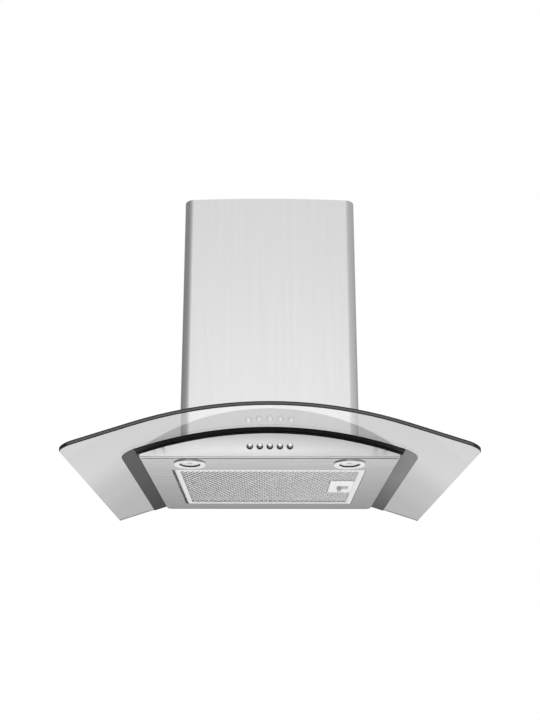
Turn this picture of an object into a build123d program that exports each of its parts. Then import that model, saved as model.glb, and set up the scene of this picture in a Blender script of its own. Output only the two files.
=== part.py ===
from build123d import *
from math import acos, asin, cos, degrees, sin, sqrt
import os

# Wall-mounted range hood with an arched glass canopy, in millimetres.
# Origin: the wall plane (y = 0), on the centre line, level with the canopy's underside (z = 0).
# The hood's front faces -Y, and +Z is up.

# ---- driving dimensions: glass and its arch ----
GLASS_WIDTH = 600.0
GLASS_DEPTH = 522.0
GLASS_THICKNESS = 6.0
GLASS_CORNER = 22.0
ARCH_RADIUS = 625.0  # underside of the glass
ARCH_REACH = 195.0  # outside this distance from the centre line the glass runs straight
ARCH_HEIGHT = 40.5  # underside of the glass above the canopy's underside, on the centre line
PLATE_WIDTH = 460.0
PLATE_THICKNESS = 1.5
PLATE_CORNER = 28.0

# ---- driving dimensions: canopy ----
BODY_WIDTH = 406.0
BODY_DEPTH = 390.0
SHEET = 1.0
BODY_CORNER = 10.0
HEM_RADIUS = 2.0
HEM_RETURN = 4.0
GROOVE = 4.0  # shadow groove between the front panel's hem and the pan
LIP_HEIGHT = 4.0  # turned-up lip of the pan, behind the groove
SEAL_DEPTH = 30.0  # how far the seal and the support plate reach out in front of the panel
SEAL_WIDTH = 414.0
SEAL_RIB, RIB_DEPTH = 11.0, 2.0  # place and depth of the rib along the seal's underside

# ---- driving dimensions: buttons and lamps ----
BUTTON_COUNT = 5
BUTTON_PITCH = 15.7
BUTTON_HEIGHT = 18.0
BUTTON_RADIUS = 5.0
BUTTON_GAP = 0.3
BUTTON_PROUD = 4.5
BUTTON_TRAVEL = 2.5
BUTTON_DOME = 3.5  # height of the domed tip
BUTTON_FLANGE = 6.2  # radius of the flange that holds the button behind the panel
STEM_RADIUS, STEM_LENGTH = 2.5, 15.5
LAMP_X = 128.0
LAMP_Y = -352.0
LAMP_RADIUS = 26.0
LAMP_PROUD = 2.5

# ---- driving dimensions: glass fixings ----
BOLT_X, BOLT_ROWS = 138.0, (-60.0, -200.0)
FRONT_BOLT_X, FRONT_BOLT_Y = 60.0, -286.0
BOLT_RADIUS, GLASS_HOLE = 3.0, 5.1

# ---- driving dimensions: filter ----
FILTER_LEFT, FILTER_RIGHT = -158.5, 158.5
FILTER_FRONT, FILTER_REAR = -311.0, -50.0
FILTER_THICKNESS = 9.0
FILTER_BORDER = 10.0
LEFT_GAP, RIGHT_GAP, END_GAP = 3.0, 1.0, 1.5
FLANGE_HEIGHT = 12.0
MESH_COLUMNS, MESH_ROWS = 17, 15

# ---- driving dimensions: chimney, air box and blower ----
CHIMNEY_HALF = 152.0
CHIMNEY_SIDE = 303.0
CHIMNEY_BOW = 6.0
CHIMNEY_CORNER = 17.0
CHIMNEY_TOP = 502.0
SECTION_GAP = 0.5
UPPER_BOTTOM, UPPER_TOP = 79.0, 499.0
BOX_HALF, BOX_FRONT, BOX_REAR, BOX_TOP = 125.0, -270.0, -2.0, 300.0
BRACKET_DEPTH, BRACKET_LOW, BRACKET_HIGH, BRACKET_SHEET = 20.0, 440.0, 470.0, 1.5
HANGER_HALF, HANGER_BOTTOM, HANGER_TOP, HANGER_SHEET = 132.0, 60.0, 360.0, 2.0
HANG_SPACING, HANG_HEIGHT, HANG_RADIUS = 200.0, 335.0, 4.0
COLLAR_Y, COLLAR_RADIUS, COLLAR_WALL, COLLAR_TOP = -160.0, 75.0, 2.5, 348.0
COLLAR_SEAT = 69.0  # bore under the ledge that the flaps close on
RING_RADIUS, RING_THICKNESS = 88.0, 3.0
BLOWER_Y, BLOWER_Z = -110.0, 165.0
IMPELLER_RADIUS, IMPELLER_HALF, BLADE_COUNT = 70.0, 50.0, 36
VOLUTE_HALF, VOLUTE_WALL, VOLUTE_STEP = 62.0, 2.0, 10.0
ADAPTER_BOTTOM = 262.0
SHAFT_RADIUS = 4.0
CLEARANCE = 0.3  # between parts that move past each other
TOUCH = 0.05  # between parts that are fixed to each other

# ---- worked out from the driving dimensions ----
ARCH_CENTRE = ARCH_HEIGHT - ARCH_RADIUS
ARCH_SPRING = asin(ARCH_REACH / ARCH_RADIUS)
BODY_HALF = BODY_WIDTH / 2
FRONT = -BODY_DEPTH
PAN_FRONT = FRONT + HEM_RETURN + GROOVE
PLATE_DEPTH = BODY_DEPTH + SEAL_DEPTH
FILTER_MID_Y = (FILTER_FRONT + FILTER_REAR) / 2
HINGE_X = FILTER_LEFT + FILTER_THICKNESS / 2
HINGE_Z = FILTER_THICKNESS / 2
OPEN_LEFT, OPEN_RIGHT = FILTER_LEFT - LEFT_GAP, FILTER_RIGHT + RIGHT_GAP
OPEN_FRONT, OPEN_REAR = FILTER_FRONT - END_GAP, FILTER_REAR + END_GAP

os.makedirs("parts", exist_ok=True)


def keep(part, name):
    """Label a finished piece and write it as its own file."""
    part.label = name
    export_step(part, f"parts/{name}.step")


def arch_z(x, above=0.0):
    """Height of the arch at x, `above` the glass underside, inside its round stretch."""
    return ARCH_CENTRE + sqrt((ARCH_RADIUS + above) ** 2 - x**2)


def arch_section(width, low, high, start=0.0):
    """Section of a sheet that follows the arch, between two heights, `start` in front of the wall."""
    reach = (ARCH_RADIUS + high) * sin(ARCH_SPRING)
    run = max(0.0, (width / 2 - reach) / cos(ARCH_SPRING))
    angle = ARCH_SPRING if run else asin(width / 2 / (ARCH_RADIUS + high))

    def corner(side, above, along):
        radius = ARCH_RADIUS + above
        x = radius * sin(angle) + along * cos(angle)
        return (side * x, ARCH_CENTRE + radius * cos(angle) - along * sin(angle))

    with BuildSketch(Plane.XZ.offset(start)) as section:
        with BuildLine():
            for above in (low, high):
                crown = (0, ARCH_HEIGHT + above)
                ThreePointArc(corner(-1, above, 0), crown, corner(1, above, 0))
            for side in (-1, 1):
                if run:
                    Polyline(
                        corner(side, high, 0), corner(side, high, run),
                        corner(side, low, run), corner(side, low, 0),
                    )
                else:
                    Line(corner(side, high, 0), corner(side, low, 0))
        make_face()
    return section.sketch


def crown_section(half, above, floor, start=0.0):
    """Crescent between a level floor and the arch, `start` in front of the wall."""
    top = arch_z(half, above)
    with BuildSketch(Plane.XZ.offset(start)) as section:
        with BuildLine():
            ThreePointArc((-half, top), (0, ARCH_HEIGHT + above), (half, top))
            Polyline((half, top), (half, floor), (-half, floor), (-half, top))
        make_face()
    return section.sketch


def block(low, high):
    """Solid between two opposite corners."""
    with BuildPart() as solid:
        with BuildSketch(Plane.XY.offset(low[2])):
            with Locations(((low[0] + high[0]) / 2, (low[1] + high[1]) / 2)):
                Rectangle(high[0] - low[0], high[1] - low[1])
        extrude(amount=high[2] - low[2])
    return solid.part


def turned(profile, x=0.0, y=0.0):
    """A piece turned about a vertical axis."""
    with BuildPart() as solid:
        with BuildSketch(Plane.XZ.offset(-y)):
            with BuildLine():
                Polyline(*[(x + radius, height) for radius, height in profile], close=True)
            make_face()
        revolve(axis=Axis((x, y, 0), (0, 0, 1)))
    return solid.part


def bolt_planes():
    """Planes on the arch, square to it, where the six glass bolts stand."""
    places = [(side * BOLT_X, y) for side in (-1, 1) for y in BOLT_ROWS]
    places += [(side * FRONT_BOLT_X, FRONT_BOLT_Y) for side in (-1, 1)]
    planes = []
    for x, y in places:
        lean = asin(x / ARCH_RADIUS)
        normal = (sin(lean), 0, cos(lean))
        planes.append(Plane(origin=(x, y, arch_z(x)), x_dir=(0, 1, 0), z_dir=normal))
    return planes


BOLT_PLANES = bolt_planes()


def at_bolts(piece):
    """The same piece on every bolt axis, as one group of solids."""
    with BuildPart() as group:
        for plane in BOLT_PLANES:
            add(plane.location * piece)
    return group.part


def tray(inset, above):
    """Solid outline of the canopy pan, drawn in by `inset`, with its rear corners rounded."""
    length = BODY_DEPTH + 20
    with BuildPart() as solid:
        with BuildSketch(Plane.XY.offset(inset)) as plan:
            with Locations((0, -inset - length / 2)):
                Rectangle(BODY_WIDTH - 2 * inset, length)
            fillet(plan.vertices().group_by(Axis.Y)[-1], BODY_CORNER - inset)
        extrude(amount=80)
        extrude(crown_section(BODY_HALF + 5, above, -5, start=-5), amount=length + 20, mode=Mode.INTERSECT)
    return solid.part


# ======================================================================
# Canopy: pan, front panel, seal, support plate and glass
# ======================================================================
with BuildPart() as canopy_pan:
    add(tray(0, -PLATE_THICKNESS))
    add(tray(SHEET, GLASS_THICKNESS), mode=Mode.SUBTRACT)
    # the side walls run up to the front panel's back, the floor stops short of its hem
    add(block((-BODY_HALF, FRONT - 30, -1), (BODY_HALF, FRONT + SHEET, 60)), mode=Mode.SUBTRACT)
    add(block((-BODY_HALF, FRONT, -1), (BODY_HALF, PAN_FRONT, 5)), mode=Mode.SUBTRACT)
    # turned-up lip that closes the shadow groove
    add(block((-BODY_HALF + SHEET, PAN_FRONT, 0), (BODY_HALF - SHEET, PAN_FRONT + SHEET, LIP_HEIGHT)))
    add(block(
        (OPEN_LEFT - SHEET, OPEN_FRONT - SHEET, 0),
        (OPEN_RIGHT + SHEET, OPEN_REAR + SHEET, FLANGE_HEIGHT),
    ))
    add(block(
        (OPEN_LEFT, OPEN_FRONT, -1), (OPEN_RIGHT, OPEN_REAR, FLANGE_HEIGHT + 1)
    ), mode=Mode.SUBTRACT)
    with BuildSketch(Plane.XY):
        with Locations((-LAMP_X, LAMP_Y), (LAMP_X, LAMP_Y)):
            Circle(LAMP_RADIUS - 2.5)
    extrude(amount=5, both=True, mode=Mode.SUBTRACT)
    # holes for the filter's two hinge pins, one in each end flange
    with BuildSketch(Plane.XZ.offset(-OPEN_REAR - 5)):
        with Locations((HINGE_X, HINGE_Z)):
            Circle(2.1)
    extrude(amount=OPEN_REAR - OPEN_FRONT + 10, mode=Mode.SUBTRACT)
keep(canopy_pan.part, "canopy_pan")

with BuildPart() as front_panel:
    with BuildSketch(Plane.YZ.offset(-BODY_HALF)):
        with BuildLine():
            bend = FilletPolyline(
                (FRONT + HEM_RETURN, 0), (FRONT, 0), (FRONT, 70), radius=HEM_RADIUS
            )
            offset(bend, amount=SHEET, side=Side.RIGHT)
        make_face()
    extrude(amount=BODY_WIDTH)
    extrude(crown_section(BODY_HALF, -PLATE_THICKNESS, -1), amount=BODY_DEPTH + 10, mode=Mode.INTERSECT)
    with BuildSketch(Plane.XZ.offset(BODY_DEPTH - 10)):
        with Locations((0, BUTTON_HEIGHT)):
            with GridLocations(BUTTON_PITCH, 1, BUTTON_COUNT, 1):
                Circle(BUTTON_RADIUS + BUTTON_GAP)
    extrude(amount=20, mode=Mode.SUBTRACT)
keep(front_panel.part, "front_panel")

with BuildPart() as front_seal:
    # flat rubber skirt in the support plate's front notch, with one rib along its underside
    extrude(arch_section(SEAL_WIDTH, -PLATE_THICKNESS, -TOUCH, BODY_DEPTH + TOUCH), amount=SEAL_DEPTH - TOUCH)
    rib = arch_section(SEAL_WIDTH, -PLATE_THICKNESS - 1, -PLATE_THICKNESS, BODY_DEPTH + SEAL_RIB)
    extrude(rib, amount=RIB_DEPTH)
keep(front_seal.part, "front_seal")

with BuildPart() as glass_support_plate:
    extrude(arch_section(PLATE_WIDTH, -PLATE_THICKNESS, 0), amount=PLATE_DEPTH)
    with BuildSketch(Plane.XY.offset(-80)) as plate_plan:
        with Locations((0, -PLATE_DEPTH / 2)):
            Rectangle(PLATE_WIDTH, PLATE_DEPTH)
        fillet(plate_plan.vertices().group_by(Axis.Y)[0], PLATE_CORNER)
    extrude(amount=160, mode=Mode.INTERSECT)
    # notch that the seal fills
    notch_half = SEAL_WIDTH / 2 + TOUCH
    add(block((-notch_half, -PLATE_DEPTH - 1, -40), (notch_half, FRONT, 80)), mode=Mode.SUBTRACT)
    add(block(
        (-BOX_HALF + 4, BOX_FRONT + 4, 0), (BOX_HALF - 4, BOX_REAR - 4, 80)
    ), mode=Mode.SUBTRACT)
    for plane in BOLT_PLANES:
        with BuildSketch(plane.offset(-5)):
            Circle(BOLT_RADIUS + 2 * TOUCH)
        extrude(amount=10, mode=Mode.SUBTRACT)
keep(glass_support_plate.part, "glass_support_plate")

with BuildPart() as glass_canopy:
    extrude(arch_section(GLASS_WIDTH, 0, GLASS_THICKNESS), amount=GLASS_DEPTH)
    with BuildSketch(Plane.XY.offset(-80)) as glass_plan:
        with Locations((0, -GLASS_DEPTH / 2)):
            Rectangle(GLASS_WIDTH, GLASS_DEPTH)
        fillet(glass_plan.vertices().group_by(Axis.Y)[0], GLASS_CORNER)
    extrude(amount=160, mode=Mode.INTERSECT)
    # rear notch that clears the air box
    with BuildSketch(Plane.XY) as notch:
        with Locations((0, (BOX_FRONT - 3) / 2)):
            Rectangle(2 * BOX_HALF + 6, 3 - BOX_FRONT)
        fillet(notch.vertices().group_by(Axis.Y)[0], 2.5)
    extrude(amount=80, mode=Mode.SUBTRACT)
    for plane in BOLT_PLANES:
        with BuildSketch(plane.offset(-2)):
            Circle(GLASS_HOLE)
        extrude(amount=12, mode=Mode.SUBTRACT)
keep(glass_canopy.part, "glass_canopy")

# flanged rubber bush in each glass hole, and the bolt through it
SKIN = GLASS_THICKNESS + TOUCH
BUSH = GLASS_HOLE - 2 * TOUCH
HEAD = SKIN + 1.5 + TOUCH
GROMMET = [(3.2, TOUCH), (BUSH, TOUCH), (BUSH, SKIN), (9, SKIN), (9, SKIN + 1.5), (3.2, SKIN + 1.5)]
BOLT = [
    (0, -6), (BOLT_RADIUS, -6), (BOLT_RADIUS, HEAD), (6, HEAD),
    (6, HEAD + 2.5), (4.8, HEAD + 3.5), (0, HEAD + 3.5),
]
keep(at_bolts(turned(GROMMET)), "glass_grommets")
keep(at_bolts(turned(BOLT)), "glass_bolts")

# ======================================================================
# Buttons and their switch block
# ======================================================================
BLOCK_FRONT, BLOCK_REAR = FRONT + SHEET, -362.0
FLANGE_FRONT = BLOCK_FRONT + CLEARANCE
CAP_BACK = FLANGE_FRONT + 1.2
ROOM = CAP_BACK - BLOCK_FRONT + BUTTON_TRAVEL + CLEARANCE
with BuildPart() as switch_block:
    add(block((-42, BLOCK_FRONT, 9), (42, BLOCK_REAR, 27)))
    for radius, depth in (
        (BUTTON_FLANGE + CLEARANCE, ROOM), (STEM_RADIUS + CLEARANCE, ROOM + STEM_LENGTH)
    ):
        with BuildSketch(Plane.XZ.offset(-BLOCK_FRONT)):
            with Locations((0, BUTTON_HEIGHT)):
                with GridLocations(BUTTON_PITCH, 1, BUTTON_COUNT, 1):
                    Circle(radius)
        extrude(amount=-depth, mode=Mode.SUBTRACT)
keep(switch_block.part, "switch_block")

TIP, DOME_FOOT = FRONT - BUTTON_PROUD, FRONT - BUTTON_PROUD + BUTTON_DOME
STEM_END = CAP_BACK + STEM_LENGTH
DOME_RADIUS = (BUTTON_RADIUS**2 + BUTTON_DOME**2) / (2 * BUTTON_DOME)
for number in range(BUTTON_COUNT):
    x = (number - (BUTTON_COUNT - 1) / 2) * BUTTON_PITCH
    with BuildPart() as button:
        with BuildSketch(Plane.XY.offset(BUTTON_HEIGHT)):
            with BuildLine():
                Polyline(
                    (x, TIP), (x, STEM_END), (x + STEM_RADIUS, STEM_END), (x + STEM_RADIUS, CAP_BACK),
                    (x + BUTTON_FLANGE, CAP_BACK), (x + BUTTON_FLANGE, FLANGE_FRONT),
                    (x + BUTTON_RADIUS, FLANGE_FRONT), (x + BUTTON_RADIUS, DOME_FOOT),
                )
                RadiusArc((x, TIP), (x + BUTTON_RADIUS, DOME_FOOT), -DOME_RADIUS)
            make_face()
        revolve(axis=Axis((x, 0, BUTTON_HEIGHT), (0, 1, 0)))
    keep(button.part, f"button_{number + 1}")

# ======================================================================
# Lamps
# ======================================================================
TRIM = [
    (23.2, 8), (23.2, 0), (LAMP_RADIUS, 0), (LAMP_RADIUS, -1.7), (25.2, -LAMP_PROUD),
    (17.4, -LAMP_PROUD), (16.4, -1.6), (16.4, 0.4), (21.8, 0.4), (21.8, 8),
]
LENS = [(0, 0.45), (21.6, 0.45), (21.6, 2.9), (0, 2.9)]
HOUSING = [(0, 19.5), (21.5, 19.5), (21.5, 2.95), (20.5, 2.95), (20.5, 18.5), (0, 18.5)]
CAPSULE = [(0, 6), (3.2, 6.6), (4.5, 9), (4.5, 18.4), (0, 18.4)]


for side, x in (("left", -LAMP_X), ("right", LAMP_X)):
    for piece, profile in (("trim", TRIM), ("lens", LENS), ("housing", HOUSING), ("capsule", CAPSULE)):
        keep(turned(profile, x, LAMP_Y), f"lamp_{piece}_{side}")

# ======================================================================
# Grease filter, hinged along its left edge
# ======================================================================
MESH_HALF = 150.4
MESH_FRONT, MESH_REAR = FILTER_FRONT + 7.6, FILTER_REAR - 7.6
WINDOW_X, WINDOW_Y = 131.75, -182.0
POCKET = ((112, -200, 2.05), (151, -164, 8))

with BuildPart() as filter_frame:
    add(block((HINGE_X, FILTER_FRONT, 0), (FILTER_RIGHT, FILTER_REAR, FILTER_THICKNESS)))
    with BuildSketch(Plane.XZ.offset(-FILTER_REAR)):
        with Locations((HINGE_X, HINGE_Z)):
            Circle(FILTER_THICKNESS / 2)
    extrude(amount=FILTER_REAR - FILTER_FRONT)
    add(block(
        (FILTER_LEFT + FILTER_BORDER, FILTER_FRONT + FILTER_BORDER, -1),
        (FILTER_RIGHT - FILTER_BORDER, FILTER_REAR - FILTER_BORDER, FILTER_THICKNESS + 1),
    ), mode=Mode.SUBTRACT)
    # groove that holds the mesh and core
    add(block((-150.5, FILTER_FRONT + 7.5, 2), (150.5, FILTER_REAR - 7.5, 7)), mode=Mode.SUBTRACT)
    for y, depth in ((FILTER_FRONT, -8), (FILTER_REAR, 8)):
        with BuildSketch(Plane.XZ.offset(-y)):
            with Locations((HINGE_X, HINGE_Z)):
                Circle(2.05)
        extrude(amount=depth, mode=Mode.SUBTRACT)
keep(filter_frame.part, "filter_frame")

MESH_STEP_X = 2 * MESH_HALF / (MESH_COLUMNS + 0.6)
MESH_STEP_Y = (MESH_REAR - MESH_FRONT) / (MESH_ROWS + 0.6)
with BuildPart() as filter_mesh:
    add(block((-MESH_HALF, MESH_FRONT, 2.1), (MESH_HALF, MESH_REAR, 3.5)))
    # the expanded sheet's diamonds, drawn about twice their real size
    with BuildSketch(Plane.XY.offset(2)):
        with Locations((0, FILTER_MID_Y)):
            with GridLocations(MESH_STEP_X, MESH_STEP_Y, MESH_COLUMNS, MESH_ROWS):
                RegularPolygon(radius=MESH_STEP_Y * 0.42, side_count=4)
    extrude(amount=2, mode=Mode.SUBTRACT)
    add(block(*POCKET), mode=Mode.SUBTRACT)
keep(filter_mesh.part, "filter_mesh")

with BuildPart() as filter_core:
    add(block((-MESH_HALF, MESH_FRONT, 3.6), (MESH_HALF, MESH_REAR, 6.9)))
    add(block(*POCKET), mode=Mode.SUBTRACT)
keep(filter_core.part, "filter_core")

with BuildPart() as latch_plate:
    add(block((107.5, -230, 0.8), (FILTER_RIGHT - FILTER_BORDER, -145, 2.0)))
    with BuildSketch(Plane.XY):
        with Locations((WINDOW_X, WINDOW_Y)):
            RectangleRounded(20.5, 24, 4)
    extrude(amount=5, mode=Mode.SUBTRACT)
keep(latch_plate.part, "latch_plate")

KNOB_X, KNOB_RADIUS = 125.5, 3.6
with BuildPart() as latch_slider:
    add(block((114, -197, 2.1), (142.3, -167, 3.5)))
    with BuildSketch(Plane.XY.offset(2.1)):
        with Locations((KNOB_X, WINDOW_Y)):
            Circle(KNOB_RADIUS)
    extrude(amount=-8)
    fillet(latch_slider.faces().sort_by(Axis.Z)[0].edges(), 1.2)
    # riser with a finger that points at the keeper's lip
    add(block((133, -188, 3.5), (134.5, -176, 13.8)))
    add(block((131.3, -188, 12.3), (133, -176, 13.8)))
keep(latch_slider.part, "latch_slider")

with BuildPart() as filter_keeper:
    extrude(crown_section(200, -PLATE_THICKNESS, 0), amount=BODY_DEPTH)
    add(block((124, -190, 11), (125.2, -174, 60)), mode=Mode.INTERSECT)
    add(block((124, -190, 11), (131, -174, 12)))
keep(filter_keeper.part, "filter_keeper")

with BuildPart() as filter_hinge_pins:
    for y, inward in ((OPEN_FRONT - SHEET, 1), (OPEN_REAR + SHEET, -1)):
        plane = Plane(origin=(HINGE_X, y, HINGE_Z), x_dir=(1, 0, 0), z_dir=(0, inward, 0))
        with BuildSketch(plane):
            Circle(2.0)
        extrude(amount=9)
        with BuildSketch(plane):
            Circle(3.5)
        extrude(amount=-1.5)
keep(filter_hinge_pins.part, "filter_hinge_pins")


# ======================================================================
# Chimney sections
# ======================================================================
def chimney_solid(inset, low, high):
    """Solid chimney outline, drawn in by `inset`, with its gently bowed front."""
    half, side = CHIMNEY_HALF - inset, CHIMNEY_SIDE - inset
    with BuildPart() as solid:
        with BuildSketch(Plane.XY.offset(low)) as plan:
            with BuildLine():
                Polyline((-half, -side), (-half, -inset), (half, -inset), (half, -side))
                ThreePointArc((half, -side), (0, -side - CHIMNEY_BOW), (-half, -side))
            make_face()
            fillet(plan.vertices().group_by(Axis.Y)[0], CHIMNEY_CORNER - inset)
        extrude(amount=high - low)
    return solid.part


def chimney_cover(inset, low, high):
    """Folded cover: bowed front, two sides and narrow flanges along the wall."""
    with BuildPart() as cover:
        add(chimney_solid(inset, low, high))
        add(chimney_solid(inset + SHEET, low - 1, high + 1), mode=Mode.SUBTRACT)
        opening = CHIMNEY_HALF - 15
        add(block((-opening, -20, low - 1), (opening, 1, high + 1)), mode=Mode.SUBTRACT)
    return cover.part


STAY_PLACES = [(side, y) for side in (-1, 1) for y in (-60.0, -230.0)]
SCREW_Z = 52.0
with BuildPart() as chimney_lower:
    add(chimney_cover(0, 0, CHIMNEY_TOP))
    # the foot follows the arch, just clear of the glass
    foot = crown_section(CHIMNEY_HALF + 8, GLASS_THICKNESS + CLEARANCE, -10)
    extrude(foot, amount=CHIMNEY_SIDE + 20, mode=Mode.SUBTRACT)
    for side, y in STAY_PLACES:
        with BuildSketch(Plane(origin=(side * 140, y, SCREW_Z), z_dir=(side, 0, 0))):
            Circle(2.1)
        extrude(amount=20, mode=Mode.SUBTRACT)
keep(chimney_lower.part, "chimney_lower")

keep(chimney_cover(SHEET + SECTION_GAP, UPPER_BOTTOM, UPPER_TOP), "chimney_upper")

with BuildPart() as chimney_stays:
    for side, y in STAY_PLACES:
        inner, outer = BOX_HALF + TOUCH, CHIMNEY_HALF - SHEET - TOUCH
        for x0, x1, z0, z1 in (
            (outer - SHEET, outer, 44, 62), (inner, outer, 61, 62), (inner, inner + SHEET, 61, 76)
        ):
            low, high = sorted((side * x0, side * x1))
            add(block((low, y - 12, z0), (high, y + 12, z1)))
    for side, y in STAY_PLACES:
        with BuildSketch(Plane(origin=(side * 140, y, SCREW_Z), z_dir=(side, 0, 0))):
            Circle(2.0)
        extrude(amount=20, mode=Mode.SUBTRACT)
keep(chimney_stays.part, "chimney_stays")

with BuildPart() as chimney_screws:
    for side, y in STAY_PLACES:
        face = Plane(origin=(side * CHIMNEY_HALF, y, SCREW_Z), z_dir=(side, 0, 0))
        with BuildSketch(face.offset(0.05)):
            Circle(4.0)
        extrude(amount=2.0)
        with BuildSketch(face.offset(0.05)):
            Circle(1.9)
        extrude(amount=-7)
keep(chimney_screws.part, "chimney_screws")

# wall bracket for the upper section: a strip on the wall with a wing at each end
with BuildPart() as chimney_bracket:
    add(block((-BOX_HALF, -BRACKET_DEPTH, BRACKET_LOW), (BOX_HALF, 0, BRACKET_HIGH)))
    add(block(
        (-BOX_HALF + BRACKET_SHEET, -BRACKET_DEPTH - 1, BRACKET_LOW - 1),
        (BOX_HALF - BRACKET_SHEET, -BRACKET_SHEET, BRACKET_HIGH + 1),
    ), mode=Mode.SUBTRACT)
keep(chimney_bracket.part, "chimney_bracket")

# ======================================================================
# Air box, hanging plate and outlet collar
# ======================================================================
with BuildPart() as air_box:
    add(block((-BOX_HALF, BOX_FRONT, 0), (BOX_HALF, BOX_REAR, BOX_TOP)))
    add(block(
        (-BOX_HALF + SHEET, BOX_FRONT + SHEET, -1), (BOX_HALF - SHEET, BOX_REAR - SHEET, BOX_TOP - SHEET)
    ), mode=Mode.SUBTRACT)
    extrude(crown_section(CHIMNEY_HALF + 8, TOUCH, -10), amount=CHIMNEY_SIDE + 20, mode=Mode.SUBTRACT)
    with BuildSketch(Plane.XY.offset(BOX_TOP - 5)):
        with Locations((0, COLLAR_Y)):
            Circle(COLLAR_RADIUS - 3)
    extrude(amount=10, mode=Mode.SUBTRACT)
keep(air_box.part, "air_box")

with BuildPart() as hanging_plate:
    add(block((-HANGER_HALF, -HANGER_SHEET, HANGER_BOTTOM), (HANGER_HALF, 0, HANGER_TOP)))
    with BuildSketch(Plane.XZ.offset(-5)):
        with Locations((0, HANG_HEIGHT)):
            with GridLocations(HANG_SPACING, 1, 2, 1):
                Circle(HANG_RADIUS)
    extrude(amount=10, mode=Mode.SUBTRACT)
keep(hanging_plate.part, "hanging_plate")

FLAP_AXIS_Z = 308.0
FLAP_UNDER = FLAP_AXIS_Z - 1.0
FLAP_OFFSET = 4.0
PIN_RADIUS = 1.5
INNER = COLLAR_RADIUS - COLLAR_WALL
COLLAR_BASE = BOX_TOP + RING_THICKNESS
with BuildPart() as outlet_flange:
    with BuildSketch(Plane(origin=(0, COLLAR_Y, BOX_TOP))):
        Circle(RING_RADIUS)
        Circle(COLLAR_SEAT, mode=Mode.SUBTRACT)
    extrude(amount=RING_THICKNESS - TOUCH)
keep(outlet_flange.part, "outlet_flange")

with BuildPart() as outlet_collar:
    with BuildSketch(Plane(origin=(0, COLLAR_Y, COLLAR_BASE))):
        Circle(COLLAR_RADIUS)
        Circle(COLLAR_SEAT, mode=Mode.SUBTRACT)
    extrude(amount=COLLAR_TOP - COLLAR_BASE)
    with BuildSketch(Plane(origin=(0, COLLAR_Y, FLAP_UNDER - CLEARANCE))):
        Circle(INNER)
    extrude(amount=60, mode=Mode.SUBTRACT)
    with BuildSketch(Plane(origin=(-80, COLLAR_Y, FLAP_AXIS_Z), x_dir=(0, 1, 0), z_dir=(1, 0, 0))):
        with Locations((-FLAP_OFFSET, 0), (FLAP_OFFSET, 0)):
            Circle(PIN_RADIUS + 0.05)
    extrude(amount=160, mode=Mode.SUBTRACT)
keep(outlet_collar.part, "outlet_collar")

with BuildPart() as flap_pins:
    with BuildSketch(Plane(origin=(-73.5, COLLAR_Y, FLAP_AXIS_Z), x_dir=(0, 1, 0), z_dir=(1, 0, 0))):
        with Locations((-FLAP_OFFSET, 0), (FLAP_OFFSET, 0)):
            Circle(PIN_RADIUS)
    extrude(amount=147)
keep(flap_pins.part, "flap_pins")

for name, direction in (("front", -1), ("rear", 1)):
    axis_y = COLLAR_Y + direction * FLAP_OFFSET
    with BuildPart() as flap:
        with BuildSketch(Plane(origin=(0, COLLAR_Y, FLAP_UNDER))):
            Circle(INNER - 2)
        extrude(amount=1.5)
        low, high = sorted((axis_y, COLLAR_Y + direction * 90))
        add(block((-80, low, 300), (80, high, 320)), mode=Mode.INTERSECT)
        barrel = Plane(origin=(-60, axis_y, FLAP_AXIS_Z), x_dir=(0, 1, 0), z_dir=(1, 0, 0))
        with BuildSketch(barrel):
            Circle(2.7)
        extrude(amount=120)
        with BuildSketch(barrel.offset(-20)):
            Circle(PIN_RADIUS + 0.05)
        extrude(amount=160, mode=Mode.SUBTRACT)
    keep(flap.part, f"flap_{name}")

# ======================================================================
# Blower: volute, adapter, impeller, motor
# ======================================================================
AXLE = Plane(origin=(0, BLOWER_Y, BLOWER_Z), x_dir=(0, 1, 0), z_dir=(1, 0, 0))
OUTLET_TOP = ADAPTER_BOTTOM - BLOWER_Z
TIGHT = 80.0  # volute radius at its tongue


def volute_outline(grow):
    """Three-centre scroll round the impeller that opens into a straight outlet, `grow` larger all round."""
    half = VOLUTE_STEP / 2
    tight = TIGHT + grow
    rear, top = half + grow, OUTLET_TOP + grow
    front = -half - tight - 2 * VOLUTE_STEP
    tongue = (rear, -half + sqrt(tight**2 - grow**2))
    with BuildSketch(AXLE) as outline:
        with BuildLine():
            CenterArc((half, -half), tight, 0, degrees(acos(grow / tight)))
            CenterArc((-half, -half), tight + VOLUTE_STEP, -90, 90)
            CenterArc((-half, half), tight + 2 * VOLUTE_STEP, 180, 90)
            Polyline((front, half), (front, top), (rear, top), tongue)
        make_face()
    return outline.sketch


for name, direction in (("left", -1), ("right", 1)):
    with BuildPart() as volute:
        extrude(volute_outline(VOLUTE_WALL), amount=direction * VOLUTE_HALF)
        extrude(volute_outline(0), amount=direction * (VOLUTE_HALF - VOLUTE_WALL), mode=Mode.SUBTRACT)
        add(block((-80, -260, ADAPTER_BOTTOM), (80, 0, ADAPTER_BOTTOM + 10)), mode=Mode.SUBTRACT)
        with BuildSketch(Plane.XY.offset(ADAPTER_BOTTOM - 8)):
            with Locations((0, COLLAR_Y)):
                Rectangle(2 * (VOLUTE_HALF - VOLUTE_WALL), 110)
        extrude(amount=20, mode=Mode.SUBTRACT)
        with BuildSketch(AXLE):
            Circle(58)
        extrude(amount=direction * 80, mode=Mode.SUBTRACT)
    keep(volute.part, f"volute_{name}")

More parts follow.
